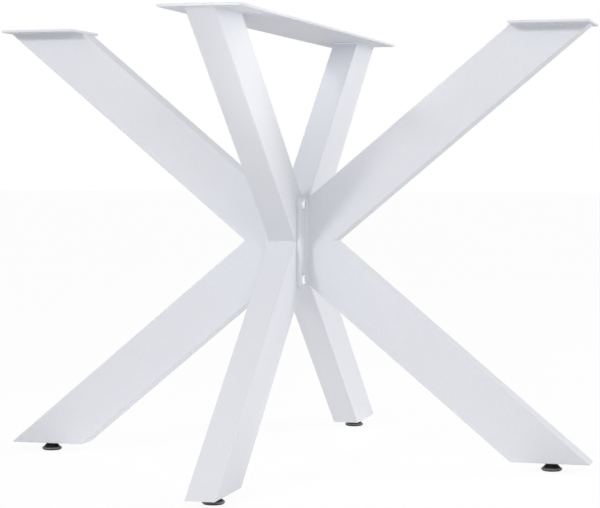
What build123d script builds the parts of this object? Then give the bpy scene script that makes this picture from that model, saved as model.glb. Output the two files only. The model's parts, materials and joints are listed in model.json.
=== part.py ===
from build123d import *
import math
import os

# Star table base of powder coated steel, in millimetres, Z up.
# The origin is on the floor, under the middle of the crossing.
# The centre frame crosses in the YZ plane and the two side wings spread along X.

# Overall sizes
base_height = 720.0
reach = 498.0
foot_gap = 14.0

# Rectangular tube, the same for every arm
tube_width = 83.0
tube_depth = 46.0
tube_wall = 2.0
tube_corner = 4.0

# Long plate over the two heads of the centre frame
plate_thickness = 4.0
plate_corner = 4.0
long_plate_width = 126.0
long_hole_inset = 22.0
long_hole_pitch_x = 92.0
long_hole_pitch_y = 124.0

# Plates over the heads of the wings
wing_plate_length = 130.0
wing_plate_depth = 120.0
wing_plate_inset = 1.5
wing_hole_pitch_x = 75.0
wing_hole_pitch_y = 90.0
table_hole = 8.0

# End plates that close the tubes at the floor
end_plate_thickness = 4.0

# Flanges between the wings and the centre frame
flange_thickness = 6.0
flange_depth = 126.0
flange_margin = 5.0
flange_corner = 5.0
wing_axis_inset = 17.5
screw_inset_y = 20.0
screw_inset_z = 12.75

# Flange screws and the threaded sleeves that they run into
screw_size = 10.0
screw_length = 22.0
screw_hole_play = 0.5
screw_head = 17.5
screw_head_height = 5.5
screw_collar = 21.0
screw_collar_height = 1.2
screw_dome_waist = 0.86
screw_dome_waist_height = 0.6
screw_crown_margin = 1.2
screw_socket = 6.0
screw_socket_depth = 3.2
sleeve_diameter = 16.0
sleeve_clearance = 0.1
thread_clearance = 0.05

# Levelling feet
stud_size = 8.0
stud_length = 38.0
stud_seat = 3.0
stud_tip = 1.0
weld_nut_width = 13.0
weld_nut_height = 6.5
glide_base = 31.0
glide_diameter = 34.5
glide_edge_height = 2.6
glide_band_top = 4.8
glide_band_slope = 1.2
glide_step = 0.6
glide_neck = 20.0
glide_collar_height = 1.0
glide_height = 11.0

# Worked out from the sizes above
tube_top = base_height - plate_thickness
end_plate_top = foot_gap + end_plate_thickness
crossing_height = (foot_gap + base_height) / 2
half_rise = (base_height - foot_gap) / 2
side_face = tube_depth / 2
flange_face = side_face + flange_thickness
wing_axis = flange_face - wing_axis_inset
far = 2 * (reach + base_height)


def arm_angle(axis_offset):
    """Slope of an arm whose outer edge meets the reach at the top face, from an axis at the offset."""
    run = reach - axis_offset
    slant = math.hypot(run, half_rise)
    return math.atan2(half_rise, run) + math.asin(tube_width / 2 / slant)


centre_angle = arm_angle(0.0)
wing_angle = arm_angle(wing_axis)
centre_cut = tube_width / math.sin(centre_angle)
wing_cut = tube_width / math.sin(wing_angle)
centre_foot = reach - centre_cut / 2
wing_foot = reach - wing_cut / 2
wing_plate_x = reach - wing_plate_inset - wing_plate_length / 2
root_height = 2 * (wing_cut / 2 + wing_axis_inset) * math.tan(wing_angle)
flange_height = root_height + 2 * flange_margin
screw_y = flange_depth / 2 - screw_inset_y
screw_z = flange_height / 2 - screw_inset_z

parts = {}


def block(x0, x1, y0, y1, z0, z1):
    """A plain box between two corners."""
    middle = ((x0 + x1) / 2, (y0 + y1) / 2, (z0 + z1) / 2)
    return Pos(*middle) * Box(x1 - x0, y1 - y0, z1 - z0)


def between(z0, z1):
    """Everything between two heights."""
    return block(-far, far, -far, far, z0, z1)


def bar(origin, along, across, width, depth, corner):
    """A long rounded bar through a point, its depth laid across and its width in the plane of the arm."""
    plane = Plane(origin=origin, x_dir=across, z_dir=along)
    section = plane * RectangleRounded(depth, width, corner)
    return extrude(section, amount=far / 2, both=True)


def solid_bar(origin, along, across):
    return bar(origin, along, across, tube_width, tube_depth, tube_corner)


def hollow_bar(origin, along, across):
    inner_width = tube_width - 2 * tube_wall
    inner_depth = tube_depth - 2 * tube_wall
    inner_corner = max(tube_corner - tube_wall, 0.2)
    bore = bar(origin, along, across, inner_width, inner_depth, inner_corner)
    return solid_bar(origin, along, across) - bore


def upright(x, y, z0, z1, diameter):
    """An upright cylinder from one height to another."""
    return Pos(x, y, (z0 + z1) / 2) * Cylinder(diameter / 2, z1 - z0)


def level(x0, x1, y, z, diameter):
    """A cylinder that lies along X."""
    return Pos((x0 + x1) / 2, y, z) * Rot(0, 90, 0) * Cylinder(diameter / 2, x1 - x0)


def largest(shape):
    return max(shape.solids(), key=lambda solid: solid.volume)


def mirrored(shape):
    return shape.mirror(Plane.YZ)


# Centre frame: a full diagonal and two half tubes coped on to it

middle = (0, 0, crossing_height)
across_centre = (1, 0, 0)
up_back = (0, math.cos(centre_angle), math.sin(centre_angle))
up_front = (0, -math.cos(centre_angle), math.sin(centre_angle))
down_front = (0, -math.cos(centre_angle), -math.sin(centre_angle))

sleeve_places = [
    (screw_y, crossing_height + screw_z),
    (-screw_y, crossing_height + screw_z),
    (screw_y, crossing_height - screw_z),
    (-screw_y, crossing_height - screw_z),
]


def sleeve_holes():
    """Holes through both side walls for the four sleeves."""
    hole = sleeve_diameter + 2 * sleeve_clearance
    cuts = [level(-tube_depth, tube_depth, y, z, hole) for y, z in sleeve_places]
    return Compound(cuts)


diagonal = hollow_bar(middle, up_back, across_centre)
diagonal_core = solid_bar(middle, up_back, across_centre)
coped = hollow_bar(middle, up_front, across_centre) - diagonal_core

parts["centre_through_tube"] = diagonal & between(end_plate_top, tube_top)
parts["centre_front_upper_arm"] = coped & between(crossing_height, tube_top)
parts["centre_back_lower_arm"] = coped & between(end_plate_top, crossing_height)
for name in ("centre_through_tube", "centre_front_upper_arm", "centre_back_lower_arm"):
    parts[name] = largest(parts[name] - sleeve_holes())


# Long plate, with four holes round each head

def plate(x, y, length_x, length_y):
    outline = RectangleRounded(length_x, length_y, plate_corner)
    return extrude(Pos(x, y, tube_top) * outline, amount=plate_thickness)


def table_holes(x, y, pitch_x, pitch_y):
    """Four holes for the screws into the table top."""
    cuts = []
    for dx in (-pitch_x / 2, pitch_x / 2):
        for dy in (-pitch_y / 2, pitch_y / 2):
            cuts.append(upright(x + dx, y + dy, tube_top - 1, base_height + 1, table_hole))
    return Compound(cuts)


long_plate_length = 2 * reach
long_hole_y = long_plate_length / 2 - long_hole_inset - long_hole_pitch_y / 2
long_plate = plate(0, 0, long_plate_width, long_plate_length)
for side in (-1, 1):
    long_plate -= table_holes(0, side * long_hole_y, long_hole_pitch_x, long_hole_pitch_y)
parts["long_top_plate"] = long_plate


# Wings: two mitred arms on a flange, with a head plate

across_wing = (0, 1, 0)
wing_origin = (wing_axis, 0, crossing_height)
wing_up = (math.cos(wing_angle), 0, math.sin(wing_angle))
wing_down = (math.cos(wing_angle), 0, -math.sin(wing_angle))
wing_upper_space = block(flange_face, far, -far, far, crossing_height, tube_top)
wing_lower_space = block(flange_face, far, -far, far, end_plate_top, crossing_height)

wing = {}
wing["upper_arm"] = hollow_bar(wing_origin, wing_up, across_wing) & wing_upper_space
wing["lower_arm"] = hollow_bar(wing_origin, wing_down, across_wing) & wing_lower_space

flange_outline = Plane.YZ * RectangleRounded(flange_depth, flange_height, flange_corner)
wing["flange"] = extrude(Pos(side_face, 0, crossing_height) * flange_outline, amount=flange_thickness)
for y, z in sleeve_places:
    hole = screw_size + 2 * screw_hole_play
    wing["flange"] -= level(side_face - 1, flange_face + 1, y, z, hole)

wing["top_plate"] = plate(wing_plate_x, 0, wing_plate_length, wing_plate_depth)
wing["top_plate"] -= table_holes(wing_plate_x, 0, wing_hole_pitch_x, wing_hole_pitch_y)

for name, shape in wing.items():
    parts["right_wing_" + name] = largest(shape)
    parts["left_wing_" + name] = largest(mirrored(shape))


# Threaded sleeves across the centre tubes, flush with their sides

def threaded_sleeve(y, z):
    body = level(-side_face, side_face, y, z, sleeve_diameter)
    bore = screw_size + 2 * thread_clearance
    return body - level(-side_face - 1, side_face + 1, y, z, bore)


for number, (y, z) in enumerate(sleeve_places, start=1):
    parts["threaded_sleeve_%d" % number] = threaded_sleeve(y, z)


# Flange screws: a domed head on a thin collar, with a hexagon socket

def flange_screw(y, z):
    collar = screw_collar / 2
    base = screw_head / 2
    waist = base * screw_dome_waist
    waist_height = screw_collar_height + (screw_head_height - screw_collar_height) * screw_dome_waist_height
    crown = screw_socket / math.sqrt(3) + screw_crown_margin
    points = [
        (0, 0),
        (collar, 0),
        (collar, screw_collar_height),
        (base, screw_collar_height),
        (waist, waist_height),
        (crown, screw_head_height),
        (0, screw_head_height),
    ]
    head = revolve(Plane.XZ * make_face(Polyline(*points, close=True)), Axis.Z)
    hexagon = RegularPolygon(screw_socket / 2, 6, major_radius=False)
    socket = extrude(Pos(0, 0, screw_head_height) * hexagon, amount=-screw_socket_depth)
    shank = upright(0, 0, -screw_length, 0, screw_size)
    tip = shank.edges().filter_by(GeomType.CIRCLE).sort_by(Axis.Z)[0]
    screw = head + chamfer(tip, screw_size / 10) - socket
    return Pos(flange_face, y, z) * Rot(0, 90, 0) * screw


for number, (y, z) in enumerate(sleeve_places, start=1):
    screw = flange_screw(y, z)
    parts["right_flange_screw_%d" % number] = screw
    parts["left_flange_screw_%d" % number] = mirrored(screw)


# Feet: end plate, welded nut, stud and moulded glide at each of the four tubes

stud_bore = stud_size + 2 * thread_clearance


def end_plate(origin, along, across, x, y):
    """The slice of the tube's own outline at the floor end, with the threaded hole."""
    slice_at_floor = solid_bar(origin, along, across) & between(foot_gap, end_plate_top)
    ends = sorted(slice_at_floor.solids(), key=lambda solid: solid.volume)
    return ends[-1] - upright(x, y, foot_gap - 1, end_plate_top + 1, stud_bore)


def weld_nut(x, y):
    outline = RegularPolygon(weld_nut_width / 2, 6, major_radius=False)
    nut = extrude(Pos(x, y, end_plate_top) * outline, amount=weld_nut_height)
    return nut - upright(x, y, end_plate_top - 1, end_plate_top + weld_nut_height + 1, stud_bore)


def stud(x, y):
    rod = upright(x, y, stud_seat, stud_seat + stud_length, stud_size)
    top = rod.edges().filter_by(GeomType.CIRCLE).sort_by(Axis.Z)[-1]
    return chamfer(top, stud_tip)


def glide(x, y):
    """A turned outline: undercut base, sloping rim, and a cone from a fine step up to the neck."""
    edge = glide_diameter / 2
    band = edge - glide_band_slope
    neck = glide_neck / 2
    points = [
        (0, 0),
        (glide_base / 2, 0),
        (edge, glide_edge_height),
        (band, glide_band_top),
        (band - glide_step, glide_band_top),
        (neck, glide_height - glide_collar_height),
        (neck, glide_height),
        (0, glide_height),
    ]
    outline = Plane.XZ * make_face(Polyline(*points, close=True))
    body = revolve(outline, Axis.Z)
    return Pos(x, y, 0) * body - upright(x, y, stud_seat, glide_height + 1, stud_size)


feet = {
    "front": (middle, down_front, across_centre, 0, -centre_foot),
    "back": (middle, up_front, across_centre, 0, centre_foot),
    "right": (wing_origin, wing_down, across_wing, wing_foot, 0),
}
for place, (origin, along, across, x, y) in feet.items():
    parts[place + "_end_plate"] = end_plate(origin, along, across, x, y)
parts["left_end_plate"] = mirrored(parts["right_end_plate"])

foot_centres = {
    "front": (0, -centre_foot),
    "back": (0, centre_foot),
    "left": (-wing_foot, 0),
    "right": (wing_foot, 0),
}
for place, (x, y) in foot_centres.items():
    parts[place + "_weld_nut"] = weld_nut(x, y)
    parts[place + "_foot_stud"] = stud(x, y)
    parts[place + "_foot_glide"] = glide(x, y)


os.makedirs("parts", exist_ok=True)
for name, shape in parts.items():
    export_step(shape, "parts/%s.step" % name)
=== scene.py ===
import json
import math

import bmesh
import bpy
from mathutils import Matrix, Vector, noise


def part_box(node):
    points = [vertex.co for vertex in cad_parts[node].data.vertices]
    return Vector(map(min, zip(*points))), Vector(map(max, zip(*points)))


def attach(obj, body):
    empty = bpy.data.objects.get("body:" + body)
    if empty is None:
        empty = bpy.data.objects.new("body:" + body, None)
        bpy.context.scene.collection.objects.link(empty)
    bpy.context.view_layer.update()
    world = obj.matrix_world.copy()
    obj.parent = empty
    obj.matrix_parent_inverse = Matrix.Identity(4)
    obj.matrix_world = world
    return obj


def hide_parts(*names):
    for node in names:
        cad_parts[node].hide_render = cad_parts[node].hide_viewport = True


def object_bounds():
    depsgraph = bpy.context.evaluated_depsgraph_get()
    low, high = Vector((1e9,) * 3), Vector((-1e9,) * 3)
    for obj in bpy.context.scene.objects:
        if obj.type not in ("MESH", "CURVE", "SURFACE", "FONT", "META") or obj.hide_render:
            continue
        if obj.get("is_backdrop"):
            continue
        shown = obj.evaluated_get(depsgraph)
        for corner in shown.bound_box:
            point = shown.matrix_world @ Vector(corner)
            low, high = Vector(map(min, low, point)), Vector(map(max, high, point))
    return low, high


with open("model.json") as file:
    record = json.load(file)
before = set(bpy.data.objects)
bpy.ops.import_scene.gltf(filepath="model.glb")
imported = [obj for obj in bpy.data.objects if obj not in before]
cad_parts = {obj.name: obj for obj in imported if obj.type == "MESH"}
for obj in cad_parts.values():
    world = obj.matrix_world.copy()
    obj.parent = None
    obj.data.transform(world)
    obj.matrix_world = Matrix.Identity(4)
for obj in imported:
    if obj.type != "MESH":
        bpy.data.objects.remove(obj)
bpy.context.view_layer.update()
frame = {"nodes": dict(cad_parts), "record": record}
scene = bpy.context.scene

# Sizes in metres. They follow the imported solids, but for the tubes' corners, which are tighter here.
reach = 0.498
foot_bottom = 0.014
base_top = 0.720
plate = 0.004
tube_width = 0.083
tube_depth = 0.046
tube_corner = 0.002
wing_axis = 0.0115
flange_face = 0.029
tube_top = base_top - plate
half_rise = (base_top - foot_bottom) / 2
middle_z = (base_top + foot_bottom) / 2
side = tube_depth / 2


def arm_angle(offset):
    run = reach - offset
    return math.atan2(half_rise, run) + math.asin(tube_width / 2 / math.hypot(run, half_rise))


centre_angle = arm_angle(0)
wing_angle = arm_angle(wing_axis)
centre_cut = tube_width / math.sin(centre_angle)
wing_cut = tube_width / math.sin(wing_angle)


# Materials

class Nodes:
    """A material with one shader and short calls to add the nodes that feed it."""

    def __init__(self, name):
        self.material = bpy.data.materials.new(name)
        self.material.use_nodes = True
        self.tree = self.material.node_tree
        self.shader = self.tree.nodes["Principled BSDF"]
        self.place = self.add("ShaderNodeTexCoord").outputs["Object"]

    def add(self, kind, **settings):
        node = self.tree.nodes.new(kind)
        for key, value in settings.items():
            setattr(node, key, value)
        return node

    def link(self, source, target):
        self.tree.links.new(source, target)

    def noise(self, scale, detail=2.0, roughness=0.5):
        node = self.add("ShaderNodeTexNoise")
        node.inputs["Scale"].default_value = scale
        node.inputs["Detail"].default_value = detail
        node.inputs["Roughness"].default_value = roughness
        self.link(self.place, node.inputs["Vector"])
        return node.outputs["Fac"]

    def span(self, value, low, high, out_low, out_high):
        node = self.add("ShaderNodeMapRange")
        limits = (low, high, out_low, out_high)
        for key, number in zip(("From Min", "From Max", "To Min", "To Max"), limits):
            node.inputs[key].default_value = number
        self.link(value, node.inputs["Value"])
        return node.outputs["Result"]

    def blend(self, factor, first, second):
        """A colour between two others, which are colours or the outputs of nodes."""
        node = self.add("ShaderNodeMix", data_type="RGBA")
        self.link(factor, node.inputs[0])
        for socket, value in ((node.inputs[6], first), (node.inputs[7], second)):
            if isinstance(value, tuple):
                socket.default_value = (*value, 1)
            else:
                self.link(value, socket)
        return node.outputs[2]

    def bump(self, height, distance, strength, below=None):
        node = self.add("ShaderNodeBump")
        node.inputs["Distance"].default_value = distance
        node.inputs["Strength"].default_value = strength
        self.link(height, node.inputs["Height"])
        if below is not None:
            self.link(below, node.inputs["Normal"])
        return node.outputs["Normal"]

    def finish(self, colour, roughness, normal, **values):
        self.link(colour, self.shader.inputs["Base Color"])
        self.link(roughness, self.shader.inputs["Roughness"])
        self.link(normal, self.shader.inputs["Normal"])
        for key, value in values.items():
            self.shader.inputs[key.replace("_", " ")].default_value = value
        return self.material


def powder_coat():
    """White coating, baked on: fine grain over a low orange peel, in a cool white that drifts a little."""
    m = Nodes("white_powder_coat")
    drift = m.blend(m.span(m.noise(3.2, 3), 0.3, 0.7, 0, 1), (0.765, 0.778, 0.822), (0.797, 0.808, 0.845))
    speck = m.span(m.noise(720, 2, 0.6), 0.30, 0.74, 0, 1)
    colour = m.blend(speck, drift, (0.728, 0.740, 0.785))
    peel = m.bump(m.noise(240, 2), 0.00009, 0.30)
    grain = m.bump(m.noise(1050, 3, 0.6), 0.00006, 0.38, peel)
    return m.finish(colour, m.span(m.noise(38, 4), 0.25, 0.75, 0.56, 0.68), grain, Specular_IOR_Level=0.16)


def zinc():
    """Bright zinc on the screws and studs: mottled grey with a faint blue cast and fine turning marks."""
    m = Nodes("zinc_plate")
    mottle = m.span(m.noise(900, 4, 0.62), 0.3, 0.7, 0, 1)
    colour = m.blend(mottle, (0.70, 0.715, 0.745), (0.86, 0.87, 0.88))
    marks = m.bump(m.noise(2600, 3, 0.6), 0.00002, 0.4)
    return m.finish(colour, m.span(m.noise(420, 3), 0.3, 0.7, 0.40, 0.56), marks, Metallic=1.0)


def plain_steel():
    """Drawn steel with a thin oil film, on the nuts and sleeves."""
    m = Nodes("plain_steel")
    streak = m.span(m.noise(260, 5, 0.66), 0.3, 0.7, 0, 1)
    colour = m.blend(streak, (0.36, 0.355, 0.35), (0.56, 0.555, 0.545))
    marks = m.bump(m.noise(1900, 3, 0.6), 0.00003, 0.5)
    return m.finish(colour, m.span(m.noise(300, 3), 0.3, 0.7, 0.30, 0.46), marks, Metallic=1.0)


def black_plastic():
    """Moulded black plastic with a satin skin, with a painted highlight: its sloping rim is painted a
    lighter grey.
    """
    m = Nodes("black_moulding")
    rub = m.span(m.noise(150, 5, 0.7), 0.45, 0.8, 0, 1)
    colour = m.blend(rub, (0.015, 0.015, 0.017), (0.034, 0.034, 0.038))
    parts = m.add("ShaderNodeSeparateXYZ")
    m.link(m.place, parts.inputs[0])
    # Painted highlight: the sloping rim, between these heights, gets a lighter grey colour.
    rim = m.add("ShaderNodeMath", operation="MULTIPLY")
    m.link(m.span(parts.outputs["Z"], 0.0020, 0.0030, 0, 1), rim.inputs[0])
    m.link(m.span(parts.outputs["Z"], 0.0046, 0.0052, 1, 0), rim.inputs[1])
    painted_rim_highlight = m.blend(m.noise(400, 4, 0.7), (0.11, 0.11, 0.115), (0.26, 0.26, 0.27))
    colour = m.blend(rim.outputs[0], colour, painted_rim_highlight)
    skin = m.bump(m.noise(2200, 2), 0.00003, 0.4)
    return m.finish(colour, m.span(m.noise(90, 3), 0.3, 0.7, 0.24, 0.34), skin, Specular_IOR_Level=0.3)


white = powder_coat()
screw_zinc = zinc()
steel = plain_steel()
black = black_plastic()


# Mesh helpers

sharp_edge = math.radians(42)
corner_steps = 6
hole_easing = 0.7


def finish_piece(name, bm, material, slot, body, *nodes):
    """Turns a built mesh into a piece that rides a body and may stand for CAD nodes."""
    bmesh.ops.recalc_face_normals(bm, faces=bm.faces)
    mesh = bpy.data.meshes.new(name)
    bm.to_mesh(mesh)
    bm.free()
    piece = bpy.data.objects.new(name, mesh)
    scene.collection.objects.link(piece)
    mesh.materials.append(material)
    mesh.shade_smooth()
    mesh.set_sharp_from_angle(angle=sharp_edge)
    even = piece.modifiers.new("even_normals", "WEIGHTED_NORMAL")
    even.keep_sharp = True
    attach(piece, body)
    if nodes:
        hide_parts(*nodes)
    return piece


def loft(bm, loops, close_start=False, close_end=False):
    """Skins a row of closed loops of the same count, and returns the rows of vertices."""
    rows = [[bm.verts.new(p) for p in loop] for loop in loops]
    count = len(rows[0])
    for low, high in zip(rows, rows[1:]):
        for i in range(count):
            j = (i + 1) % count
            bm.faces.new((low[i], low[j], high[j], high[i]))
    if close_start:
        bm.faces.new(rows[0])
    if close_end:
        bm.faces.new(rows[-1])
    return rows


def rounded_loop(length, width, corner_x, corner_y, inset, z, steps=corner_steps):
    """A rounded rectangle about the origin, its corners quarter ellipses."""
    points = []
    for quarter, (sx, sy) in enumerate(((1, 1), (-1, 1), (-1, -1), (1, -1))):
        for k in range(steps + 1):
            turn = math.pi / 2 * (quarter + k / steps)
            x = sx * (length / 2 - corner_x) + (corner_x - inset) * math.cos(turn)
            y = sy * (width / 2 - corner_y) + (corner_y - inset) * math.sin(turn)
            points.append(Vector((x, y, z)))
    return points


def circle_loop(x, y, radius, z, count=36):
    steps = [2 * math.pi * i / count for i in range(count)]
    return [Vector((x + radius * math.cos(t), y + radius * math.sin(t), z)) for t in steps]


def edge_profile(thickness, round_low, round_high, steps=3):
    """Inset and height of each ring from the low face to the high one, with rounded edges."""
    low = [k * math.pi / 2 / steps for k in range(steps + 1)]
    rings = [(round_low * (1 - math.sin(a)), round_low * (1 - math.cos(a))) for a in low]
    top = [(round_high * (1 - math.cos(a)), thickness - round_high * (1 - math.sin(a))) for a in low]
    return rings + top


def slab(outline, holes, thickness, round_low, round_high, place, lean=0.0):
    """A plate with rounded edges and eased holes, moved into place. The holes may lean along X."""
    bm = bmesh.new()
    rings = edge_profile(thickness, round_low, round_high)
    skins = [loft(bm, [outline(inset, z) for inset, z in rings])]
    for x, y, radius in holes:
        rims = [circle_loop(x + lean * z, y, radius + inset * hole_easing, z) for inset, z in rings]
        skins.append(loft(bm, rims))
    for row in (0, -1):
        edges = []
        for rows in skins:
            ring = rows[row]
            edges += [bm.edges.get((ring[i], ring[(i + 1) % len(ring)])) for i in range(len(ring))]
        bmesh.ops.triangle_fill(bm, use_beauty=True, edges=edges, normal=(0, 0, 1))
    bm.transform(place)
    return bm


def screw_centre(node):
    low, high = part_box(node)
    return (low + high) / 2


# Tubes, with the tight corners that the photograph shows

middle = Vector((0, 0, middle_z))
tube_bottom = foot_bottom + plate
cope_overlap = 0.002


def slide(spot, along, planes):
    """The point where a line through a spot has passed every plane."""
    steps = [(point - spot).dot(normal) / along.dot(normal) for point, normal in planes]
    return spot + along * max(steps)


def tube_skin(node, origin, along, lateral, start, finish, kink=0.0):
    """A tube between the planes of its two ends. Two planes of the start meet on its sides at the kink."""
    rise = lateral.cross(along)
    section = [(p.x, p.y) for p in rounded_loop(tube_width, tube_depth, tube_corner, tube_corner, 0, 0)]
    first, second = corner_steps + 1, 3 * (corner_steps + 1) + 1
    section.insert(first, (kink, side))
    section.insert(second, (kink, -side))
    lines = [origin + rise * u + lateral * v for u, v in section]
    bm = bmesh.new()
    loops = [[slide(spot, along, planes) for spot in lines] for planes in (start, finish)]
    near = loft(bm, loops, close_end=True)[0]
    if len(start) > 1:
        bm.faces.new(near[first:second + 1])
        bm.faces.new(near[second:] + near[:first + 1])
    else:
        bm.faces.new(near)
    finish_piece(node + "_coated", bm, white, "white_coat", "frame", node)


def level(z):
    return Vector((0, 0, z)), Vector((0, 0, 1))


along_x, along_y = Vector((1, 0, 0)), Vector((0, 1, 0))
rising_back = Vector((0, math.cos(centre_angle), math.sin(centre_angle)))
rising_front = Vector((0, -rising_back.y, rising_back.z))
across_diagonal = Vector((0, -rising_back.z, rising_back.y))
seat = across_diagonal * (tube_width / 2 - cope_overlap)
tube_skin("centre_through_tube", middle, rising_back, along_x, [level(tube_bottom)], [level(tube_top)])
tube_skin(
    "centre_front_upper_arm", middle, rising_front, along_x,
    [(middle + seat, across_diagonal)], [level(tube_top)],
)
tube_skin(
    "centre_back_lower_arm", middle, -rising_front, along_x,
    [(middle - seat, across_diagonal)], [level(tube_bottom)],
)
wing_kink = (flange_face - wing_axis) * math.sin(wing_angle)
for name, sign in (("right", 1), ("left", -1)):
    origin = Vector((sign * wing_axis, 0, middle_z))
    root = (Vector((sign * flange_face, 0, 0)), along_x)
    for place, way, end in (("upper", 1, tube_top), ("lower", -1, tube_bottom)):
        along = Vector((sign * math.cos(wing_angle), 0, way * math.sin(wing_angle)))
        tube_skin(
            "%s_wing_%s_arm" % (name, place), origin, along, along_y,
            [root, level(middle_z)], [level(end)], wing_kink * way * sign,
        )


# Head plates, flanges and end plates, with the soft edges that a coat leaves

plate_corner = 0.004
soft_edge = 0.0008
tight_edge = 0.0002
table_hole = 0.004
long_group, long_holes_x, long_holes_y = 0.414, 0.046, 0.062
wing_group, wing_holes_x, wing_holes_y = 0.4315, 0.0375, 0.045
flange_corner = 0.005
flange_hole = 0.0055
stud_hole = 0.00405
foot_edge = 0.0009
square = [(dx, dy) for dx in (-1, 1) for dy in (-1, 1)]


def head_plate(node, holes):
    low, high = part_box(node)
    size, centre = high - low, (low + high) / 2
    bm = slab(
        lambda inset, z: rounded_loop(size.x, size.y, plate_corner, plate_corner, inset, z),
        [(x - centre.x, y - centre.y, table_hole) for x, y in holes],
        size.z, soft_edge, soft_edge, Matrix.Translation((centre.x, centre.y, low.z)),
    )
    finish_piece(node + "_coated", bm, white, "white_coat", "frame", node)


long_spots = []
for end in (-1, 1):
    long_spots += [(dx * long_holes_x, end * long_group + dy * long_holes_y) for dx, dy in square]
head_plate("long_top_plate", long_spots)
for name, sign in (("left", -1), ("right", 1)):
    spots = [(sign * wing_group + dx * wing_holes_x, dy * wing_holes_y) for dx, dy in square]
    head_plate(name + "_wing_top_plate", spots)

for name, sign in (("left", -1), ("right", 1)):
    low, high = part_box(name + "_wing_flange")
    tall, deep, thick = high.z - low.z, high.y - low.y, high.x - low.x
    stand = Matrix.Rotation(math.pi / 2, 4, "Y")
    place = Matrix.Translation((low.x, 0, middle_z)) @ stand
    centres = [screw_centre("%s_flange_screw_%d" % (name, number)) for number in (1, 2, 3, 4)]
    holes = [(middle_z - spot.z, spot.y, flange_hole) for spot in centres]
    edges = (tight_edge, soft_edge) if sign > 0 else (soft_edge, tight_edge)
    bm = slab(
        lambda inset, z: rounded_loop(tall, deep, flange_corner, flange_corner, inset, z),
        holes, thick, *edges, place,
    )
    finish_piece(name + "_wing_flange_coated", bm, white, "white_coat", "frame", name + "_wing_flange")


def foot_plate(place, turn, angle, cut, distance):
    """The plate that closes a tube at the floor: a slice of the slanted tube with an eased lower edge."""
    lean = 1 / math.tan(angle)
    shear = Matrix.Identity(4)
    shear[0][2] = -lean
    spot = Matrix.Rotation(turn, 4, "Z") @ Matrix.Translation((distance, 0, foot_bottom)) @ shear
    corner = tube_corner / math.sin(angle)
    bm = slab(
        lambda inset, z: rounded_loop(cut, tube_depth, corner, tube_corner, inset, z),
        [(0, 0, stud_hole)], plate, foot_edge, 0.0, spot, lean,
    )
    finish_piece(place + "_end_plate_coated", bm, white, "white_coat", "frame", place + "_end_plate")


centre_foot = reach - centre_cut / 2
wing_foot = reach - wing_cut / 2
foot_plate("right", 0, wing_angle, wing_cut, wing_foot)
foot_plate("back", math.pi / 2, centre_angle, centre_cut, centre_foot)
foot_plate("left", math.pi, wing_angle, wing_cut, wing_foot)
foot_plate("front", -math.pi / 2, centre_angle, centre_cut, centre_foot)


# Weld beads under the coat

root_leg = 0.0034
head_leg = 0.0026
seam_leg = 0.0015
ripple_pitch = 0.0021
ripple_depth = 0.055
bead_root = 0.0004
bead_steps = 6
bead_drift = 0.16
bead_bulge = 0.20
end_size = 0.35
ring_steps = 8


def weld(name, path, leg, step=0.0006):
    """A rippled bead along a corner. A point of the path is a place and two directions away from it."""
    spots = [path[0]]
    for start, stop in zip(path, path[1:]):
        parts = max(1, round((stop[0] - start[0]).length / step))
        spots += [tuple(a.lerp(b, k / parts) for a, b in zip(start, stop)) for k in range(1, parts + 1)]
    loops, run = [], 0.0
    for i, (spot, first, second) in enumerate(spots):
        before, after = spots[max(i - 1, 0)][0], spots[min(i + 1, len(spots) - 1)][0]
        run += (spot - before).length
        line = (after - before).normalized()
        first = (first - line * first.dot(line)).normalized()
        second = (second - line * second.dot(line)).normalized()
        ripple = ripple_depth * math.sin(2 * math.pi * run / ripple_pitch + 1.4 * noise.noise(spot * 90))
        size = leg * (1 + ripple + bead_drift * noise.noise(spot * 140))
        fade = min(1.0, end_size + min(i, len(spots) - 1 - i) * step / leg)
        size *= fade
        out = (first + second).normalized()
        bulge = bead_bulge * size * (1 + 1.5 * ripple)
        ring = [spot - out * bead_root]
        for k in range(bead_steps + 1):
            t = k / bead_steps
            ring.append(spot + size * (first * (1 - t) + second * t) + out * bulge * math.sin(math.pi * t))
        loops.append(ring)
    bm = bmesh.new()
    loft(bm, loops, close_start=True, close_end=True)
    finish_piece(name, bm, white, "white_coat", "frame")


def turned(path, matrix):
    """The same path turned or mirrored by a matrix."""
    spin = matrix.to_3x3()
    return [(matrix @ spot, spin @ first, spin @ second) for spot, first, second in path]


def ring_path(half_u, half_v, corner_u, corner_v, spot, away, along):
    """Points round a rounded rectangle, with the direction away from it and the one along the tube."""
    path = []
    for loop_point in rounded_loop(2 * half_u, 2 * half_v, corner_u, corner_v, 0, 0, ring_steps):
        u, v = loop_point.x, loop_point.y
        du = (u - math.copysign(half_u - corner_u, u)) / corner_u if abs(u) > half_u - corner_u else 0
        dv = (v - math.copysign(half_v - corner_v, v)) / corner_v if abs(v) > half_v - corner_v else 0
        path.append((spot(u, v), away(du, dv).normalized(), along(u, v)))
    return path


wing_up = Vector((math.cos(wing_angle), 0, math.sin(wing_angle)))
wing_down = Vector((math.cos(wing_angle), 0, -math.sin(wing_angle)))
root_half = (wing_cut / 2 + flange_face - wing_axis) * math.tan(wing_angle)

root = ring_path(
    root_half, side, tube_corner / math.cos(wing_angle), tube_corner,
    lambda u, v: Vector((flange_face, v, middle_z + u)),
    lambda du, dv: Vector((0, dv, du)),
    lambda u, v: wing_up if u > 0 else wing_down,
)
root.append(root[0])

# The head welds stop short of the arms' outer tips
tip_gap = 0.012
wing_weld_end = reach - 0.010
centre_weld_end = reach - 0.008

head_line = reach - wing_cut / 2 - plate / math.tan(wing_angle)
wing_head = ring_path(
    wing_cut / 2, side, tube_corner / math.sin(wing_angle), tube_corner,
    lambda u, v: Vector((head_line + u, v, tube_top)),
    lambda du, dv: Vector((du, dv, 0)),
    lambda u, v: -wing_up,
)
wing_head = [p for p in wing_head if p[0].x < reach - tip_gap]

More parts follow.
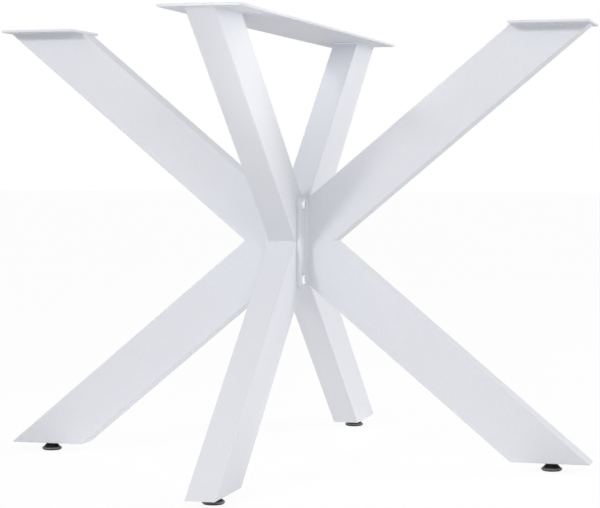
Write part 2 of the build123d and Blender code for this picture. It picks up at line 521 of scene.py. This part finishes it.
centre_line = reach - centre_cut / 2 - plate / math.tan(centre_angle)
lean_in = Vector((-math.cos(centre_angle), 0, -math.sin(centre_angle)))
centre_head = ring_path(
    centre_cut / 2, side, tube_corner / math.sin(centre_angle), tube_corner,
    lambda u, v: Vector((centre_line + u, v, tube_top)),
    lambda du, dv: Vector((du, dv, 0)),
    lambda u, v: lean_in,
)
centre_head = [p for p in centre_head if p[0].x < reach - tip_gap]


def opened(path, far_x):
    """A path round the inner side of a head, drawn out at both ends to the far X."""
    ends = [(Vector((far_x, spot.y, spot.z)), away, along) for spot, away, along in (path[0], path[-1])]
    return [ends[0]] + path + [ends[1]]


mirror = Matrix.Scale(-1, 4, (1, 0, 0))
for name, matrix in (("right", Matrix.Identity(4)), ("left", mirror)):
    weld(name + "_wing_root_weld", turned(root, matrix), root_leg)
    weld(name + "_wing_head_weld", turned(opened(wing_head, wing_weld_end), matrix), head_leg)
for name, turn in (("back", math.pi / 2), ("front", -math.pi / 2)):
    path = turned(opened(centre_head, centre_weld_end), Matrix.Rotation(turn, 4, "Z"))
    weld(name + "_head_weld", path, head_leg)


def notch(corner, first, second, drop):
    """A seam across a tube's edge face, following its rounded corners down by the drop for each depth."""
    path = []
    for sign in (-1, 1):
        for k in range(corner_steps + 1):
            turn = math.pi / 2 * (k / corner_steps if sign > 0 else 1 - k / corner_steps)
            lateral = sign * (side - tube_corner + tube_corner * math.sin(turn))
            depth = tube_corner * (1 - math.cos(turn))
            path.append((corner(lateral) + drop * depth, first, second))
    return path[1:-1]


def crossing(y, z):
    """The points of a seam that crosses the centre frame from side to side."""
    return lambda lateral: Vector((lateral, y, middle_z + z))


top_z = tube_width / 2 / math.cos(centre_angle)
side_y = centre_cut / 2
to_middle_z = Vector((0, 0, -1)) / math.cos(centre_angle)
to_middle_y = Vector((0, 1, 0)) / math.sin(centre_angle)
seams = {
    "crossing_top": (crossing(0, top_z), rising_back, rising_front, to_middle_z),
    "crossing_bottom": (crossing(0, -top_z), -rising_back, -rising_front, -to_middle_z),
    "crossing_front": (crossing(-side_y, 0), rising_front, -rising_back, to_middle_y),
    "crossing_back": (crossing(side_y, 0), rising_back, -rising_front, -to_middle_y),
}
for name, (corner, first, second, drop) in seams.items():
    weld(name + "_weld", notch(corner, first, second, drop), seam_leg)

mitre_x = wing_axis + wing_cut / 2
to_root = Vector((-1, 0, 0)) / math.sin(wing_angle)
mitre = notch(lambda t: Vector((mitre_x, t, middle_z)), wing_up, wing_down, to_root)
for name, matrix in (("right", Matrix.Identity(4)), ("left", mirror)):
    weld(name + "_wing_mitre_weld", turned(mitre, matrix), seam_leg)


# Flange screws: rolled dome, thin collar and a hexagon socket

screw_turn, screw_turn_step = 0.35, 0.5
socket_steps = 8


def hexagon_loop(across, z):
    radius = across / math.sqrt(3)
    turns = [math.pi / 3 * i for i in range(7)]
    corners = [Vector((radius * math.cos(t), radius * math.sin(t), z)) for t in turns]
    points = []
    for start, stop in zip(corners, corners[1:]):
        points += [start.lerp(stop, k / socket_steps) for k in range(socket_steps)]
    return points


def screw_mesh():
    """A screw that stands on z = 0 with its head up. Rows give the distance across or the radius, and z."""
    socket = [(0.0012, 0.0012), (0.0058, 0.0023), (0.0060, 0.0025), (0.0060, 0.0050), (0.0064, 0.00532)]
    crown_radius, head_radius, dome_foot, head_top = 0.0046, 0.00875, 0.00125, 0.0055
    dome_steps, dome_power = 10, 0.92
    rim = [(0.00405, 0.00542), (crown_radius, head_top)]
    collar = [(0.0089, 0.00118), (0.0101, 0.00112), (0.01038, 0.00098), (0.0105, 0.0007), (0.0105, 0.0003)]
    shank = [(0.0103, 0.0), (0.0052, 0.0), (0.0050, -0.0003), (0.0050, -0.021), (0.0040, -0.022)]
    dome = []
    for k in range(1, dome_steps + 1):
        t = math.pi / 2 * k / dome_steps
        radius = crown_radius + (head_radius - crown_radius) * math.sin(t)
        dome.append((radius, dome_foot + (head_top - dome_foot) * math.cos(t) ** dome_power))
    loops = [hexagon_loop(across, z) for across, z in socket]
    rings = rim + dome + collar + shank
    loops += [circle_loop(0, 0, radius, z, 6 * socket_steps) for radius, z in rings]
    bm = bmesh.new()
    loft(bm, loops, close_start=True, close_end=True)
    return bm


for name, sign in (("right", 1), ("left", -1)):
    for number in (1, 2, 3, 4):
        node = "%s_flange_screw_%d" % (name, number)
        centre = screw_centre(node)
        turn = Matrix.Rotation(screw_turn + screw_turn_step * number, 4, "Z")
        lie = Matrix.Rotation(sign * math.pi / 2, 4, "Y")
        bm = screw_mesh()
        bm.transform(Matrix.Translation((sign * flange_face, centre.y, centre.z)) @ lie @ turn)
        finish_piece(node + "_head", bm, screw_zinc, "zinc_screw", "frame", node)


# Levelling feet: rolled thread and a moulded glide

stud_low, stud_high, stud_radius = 0.003, 0.041, 0.004
thread_depth, thread_root = 0.00068, 0.00072
point_length, point_depth = 0.001, 0.0006
thread_pitch = 0.00125
rows_in_pitch = 8
thread_sides, glide_sides = 24, 72


def thread_mesh(x, y, low, high, radius):
    """A rolled thread as a fine net whose radius follows the helix, with pointed ends."""
    bm = bmesh.new()
    rows = round((high - low) / thread_pitch * rows_in_pitch)
    loops = []
    for r in range(rows + 1):
        z = low + (high - low) * r / rows
        ends = min(1.0, min(z - low, high - z) / point_length)
        ring = []
        for i in range(thread_sides):
            t = 2 * math.pi * i / thread_sides
            phase = ((z - low) / thread_pitch - i / thread_sides) % 1.0
            crest = min(1.0, max(0.0, 1.35 * (1 - abs(2 * phase - 1)) - 0.12))
            size = radius - thread_root + thread_depth * crest - point_depth * (1 - ends)
            ring.append(Vector((x + size * math.cos(t), y + size * math.sin(t), z)))
        loops.append(ring)
    loft(bm, loops, close_start=True, close_end=True)
    return bm


def glide_mesh(x, y):
    """A turned outline: shallow dish, sloping rim, fine step and a hollowed cone up to the neck."""
    dish = [(0.0, 0.0007), (0.0105, 0.0007), (0.012, 0.0), (0.0148, 0.0)]
    heel = [(0.0153, 0.00012), (0.0156, 0.0004)]
    rim = [(0.01705, 0.0022), (0.01722, 0.00245), (0.01725, 0.0027), (0.01718, 0.0030), (0.01630, 0.0045)]
    step = [(0.01610, 0.00474), (0.01580, 0.0048), (0.01555, 0.00478), (0.01535, 0.00485), (0.01500, 0.0051)]
    cone = [(0.0138, 0.0062), (0.0127, 0.00725), (0.0117, 0.0083), (0.0109, 0.0092), (0.0103, 0.0099)]
    neck = [(0.01005, 0.01025), (0.00998, 0.01056), (0.00985, 0.01083), (0.00955, 0.01094)]
    bore = [(0.0050, 0.01094), (0.00430, 0.01075), (0.0040, 0.0104), (0.0040, 0.0032), (0.0, 0.0030)]
    smallest_radius = 0.00002
    outline = dish + heel + rim + step + cone + neck + bore
    bm = bmesh.new()
    loops = [circle_loop(x, y, max(radius, smallest_radius), z, glide_sides) for radius, z in outline]
    loft(bm, loops, close_start=True, close_end=True)
    return bm


feet = (
    ("front", 0, -centre_foot), ("back", 0, centre_foot),
    ("left", -wing_foot, 0), ("right", wing_foot, 0),
)
for name, x, y in feet:
    body = name + "_foot"
    stud = thread_mesh(x, y, stud_low, stud_high, stud_radius)
    finish_piece(body + "_thread", stud, screw_zinc, "zinc_screw", body, body + "_stud")
    finish_piece(body + "_moulding", glide_mesh(x, y), black, "black_glide", body, body + "_glide")


# Finishes of the CAD nodes that stay

slot_materials = {"white_coat": white, "zinc_screw": screw_zinc, "plain_steel": steel, "black_glide": black}
for row in frame["record"]["subparts"]:
    for slot in frame["nodes"][row["node"]].material_slots:
        slot.material = slot_materials[row["material_slot"]]


# Floor, background and light

floor_half = 30
glow_strength = 1.07
glow_share = 0.86


def floor_material():
    """Pale matte floor, nearly white to the camera and in reflections, with the object's shadow kept."""
    m = Nodes("floor_paper")
    tone = m.blend(m.span(m.noise(1.5, 3), 0.3, 0.7, 0, 1), (0.60, 0.60, 0.60), (0.63, 0.63, 0.63))
    rough = m.span(m.noise(40, 3), 0.3, 0.7, 0.85, 0.95)
    m.finish(tone, rough, m.bump(m.noise(600, 2), 0.0001, 0.2), Specular_IOR_Level=0.1)
    glow = m.add("ShaderNodeEmission")
    glow.inputs["Color"].default_value = (1, 1, 1, 1)
    glow.inputs["Strength"].default_value = glow_strength
    rays = m.add("ShaderNodeLightPath")
    seen = m.add("ShaderNodeMath", operation="MAXIMUM")
    m.link(rays.outputs["Is Camera Ray"], seen.inputs[0])
    m.link(rays.outputs["Is Glossy Ray"], seen.inputs[1])
    either = m.add("ShaderNodeMath", operation="MAXIMUM")
    m.link(seen.outputs[0], either.inputs[0])
    m.link(rays.outputs["Is Transmission Ray"], either.inputs[1])
    share = m.span(either.outputs[0], 0, 1, 0, glow_share)
    mix = m.add("ShaderNodeMixShader")
    m.link(share, mix.inputs[0])
    m.link(m.shader.outputs[0], mix.inputs[1])
    m.link(glow.outputs[0], mix.inputs[2])
    m.link(mix.outputs[0], m.tree.nodes["Material Output"].inputs["Surface"])
    return m.material


def make_floor():
    bm = bmesh.new()
    bmesh.ops.create_grid(bm, x_segments=8, y_segments=8, size=floor_half)
    mesh = bpy.data.meshes.new("floor")
    bm.to_mesh(mesh)
    bm.free()
    floor = bpy.data.objects.new("floor", mesh)
    mesh.materials.append(floor_material())
    scene.collection.objects.link(floor)
    floor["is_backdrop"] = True


def make_world():
    """A white backdrop for what is seen, and for the light a room that is brighter towards some sides."""
    world = bpy.data.worlds.new("studio")
    scene.world = world
    world.use_nodes = True
    tree = world.node_tree
    tree.nodes.clear()

    def math_node(operation, first, second):
        node = tree.nodes.new("ShaderNodeMath")
        node.operation = operation
        for socket, value in zip(node.inputs, (first, second)):
            if isinstance(value, (int, float)):
                socket.default_value = value
            else:
                tree.links.new(value, socket)
        return node.outputs[0]

    def background(colour, strength):
        node = tree.nodes.new("ShaderNodeBackground")
        node.inputs["Color"].default_value = (*colour, 1)
        if isinstance(strength, (int, float)):
            node.inputs["Strength"].default_value = strength
        else:
            tree.links.new(strength, node.inputs["Strength"])
        return node.outputs[0]

    where = tree.nodes.new("ShaderNodeTexCoord").outputs["Generated"]
    room = background(room_colour, room_strength)
    for direction, power, strength, colour in lobes:
        dot = tree.nodes.new("ShaderNodeVectorMath")
        dot.operation = "DOT_PRODUCT"
        dot.inputs[1].default_value = Vector(direction).normalized()
        tree.links.new(where, dot.inputs[0])
        lobe = math_node("POWER", math_node("MAXIMUM", dot.outputs["Value"], 0.0), float(power))
        both = tree.nodes.new("ShaderNodeAddShader")
        tree.links.new(room, both.inputs[0])
        tree.links.new(background(colour, math_node("MULTIPLY", lobe, float(strength))), both.inputs[1])
        room = both.outputs[0]

    rays = tree.nodes.new("ShaderNodeLightPath").outputs
    seen = math_node("MAXIMUM", rays["Is Camera Ray"], rays["Is Glossy Ray"])
    seen = math_node("MAXIMUM", seen, rays["Is Transmission Ray"])
    mix = tree.nodes.new("ShaderNodeMixShader")
    out = tree.nodes.new("ShaderNodeOutputWorld")
    tree.links.new(seen, mix.inputs[0])
    tree.links.new(room, mix.inputs[1])
    tree.links.new(background((1, 1, 1), 1.0), mix.inputs[2])
    tree.links.new(mix.outputs[0], out.inputs["Surface"])


def place_lamp(name, light, spot, target):
    lamp = bpy.data.objects.new(name, light)
    lamp.location = spot
    lamp.visible_camera = False
    lamp.rotation_euler = (Vector(target) - Vector(spot)).to_track_quat("-Z", "Y").to_euler()
    scene.collection.objects.link(lamp)


def area(name, spot, target, size, power):
    light = bpy.data.lights.new(name, "AREA")
    light.shape = "SQUARE"
    light.size = size
    light.energy = power
    place_lamp(name, light, spot, target)


def beam(name, spot, target, size, power, cone):
    """A narrow beam with a soft edge."""
    light = bpy.data.lights.new(name, "SPOT")
    light.shadow_soft_size = size
    light.spot_size = math.radians(cone)
    light.spot_blend = 1.0
    light.energy = power
    place_lamp(name, light, spot, target)


room_colour = (0.99, 0.995, 1.0)
room_strength = 0.43

# Direction, power of the cosine, strength and colour
lobes = [
    ((-0.8, -0.7, 0.15), 4, 0.76, (0.99, 0.995, 1.0)),
    ((1, 0, 0.1), 4, 0.40, (1.0, 0.99, 0.98)),
    ((-1, 0, 0.1), 4, 0.40, (1.0, 1.0, 1.0)),
    ((0, 1, 0.15), 3, 0.25, (1.0, 1.0, 1.0)),
    ((0.8, 0.7, 0.15), 4, 0.62, (1.0, 0.99, 0.98)),
]

# Name, place, target, size in metres and watts
lamps = [
    ("key_lamp", (-0.95, -3.2, 1.66), (0, 0, 0.4), 0.32, 26.5),
    ("front_lamp", (1.4, -3.2, 1.6), (0, 0, 0.4), 0.60, 12.0),
    ("side_lamp", (3.2, -0.6, 1.5), (0, 0, 0.5), 0.80, 7.0),
    ("back_lamp", (2.7, 1.15, 0.9), (0, 0, 0.4), 0.80, 18.0),
    ("floor_lamp", (0.2, -1.25, 0.004), (0.2, -1.2499, 0.5), 1.40, 2.7),
    ("lit_table", (0.0, 0.1, 0.004), (0, 0.1001, 0.5), 0.80, 0.72),
]

# As above, with the cone in degrees
beams = [
    ("head_beam", (0.54, -2.6, 0.46), (-0.01, 0.42, 0.70), 0.10, 140.0, 6.4),
    ("arm_beam", (2.6, -0.6, 0.75), (0.02, -0.31, 0.63), 0.10, 50.0, 8.0),
]
make_floor()
make_world()
for lamp in lamps:
    area(*lamp)
for lamp in beams:
    beam(*lamp)

scene.view_settings.view_transform = "Standard"


# Camera at the photograph's viewing point

looks_down = 0.0472
turned_left = 0.2673
camera = bpy.data.cameras.new("camera")
camera.sensor_fit = "HORIZONTAL"
camera.sensor_width = 36
camera.lens = 114.32
camera.clip_start = 0.05
camera.clip_end = 200
eye = bpy.data.objects.new("camera", camera)
eye.location = (0.8485459, -3.0537963, 0.4938492)
eye.rotation_euler = (math.pi / 2 - looks_down, 0, turned_left)
scene.collection.objects.link(eye)
scene.camera = eye

low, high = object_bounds()
